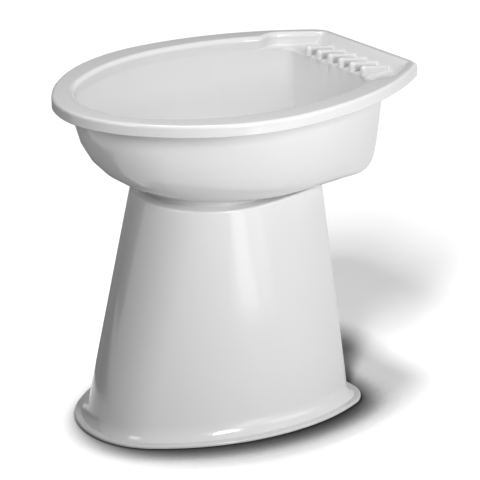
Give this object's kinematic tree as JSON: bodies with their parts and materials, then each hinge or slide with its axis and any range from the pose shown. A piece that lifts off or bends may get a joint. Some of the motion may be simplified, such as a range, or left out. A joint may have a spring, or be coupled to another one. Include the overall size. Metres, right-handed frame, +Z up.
{
  "type": "portable bidet bowl",
  "caption": "Free-standing bidet: an oval plastic bowl with a skirted rim and a ribbed soap shelf, lifted off a hollow tapered pedestal with a flared foot.",
  "frame": {"origin": "on the floor under the middle of the bowl's rim", "axes": "+Z up, -Y towards the bowl's round nose, +Y towards its straight rear edge with the soap shelf, +X to the right of someone facing +Y"},
  "size_m": [0.331, 0.43, 0.4],
  "materials": {
    "bowl": "white injection-moulded plastic, glossy",
    "pedestal": "white injection-moulded plastic, glossy"
  },
  "bodies": {
    "pedestal": {"pedestal": "pedestal"},
    "bowl": {"bowl": "bowl"}
  },
  "joints": [
    {"name": "bowl_lift", "type": "slide", "parent": "pedestal", "child": "bowl", "axis": [0, 0, 1], "range_m": [0, 0.15]}
  ]
}
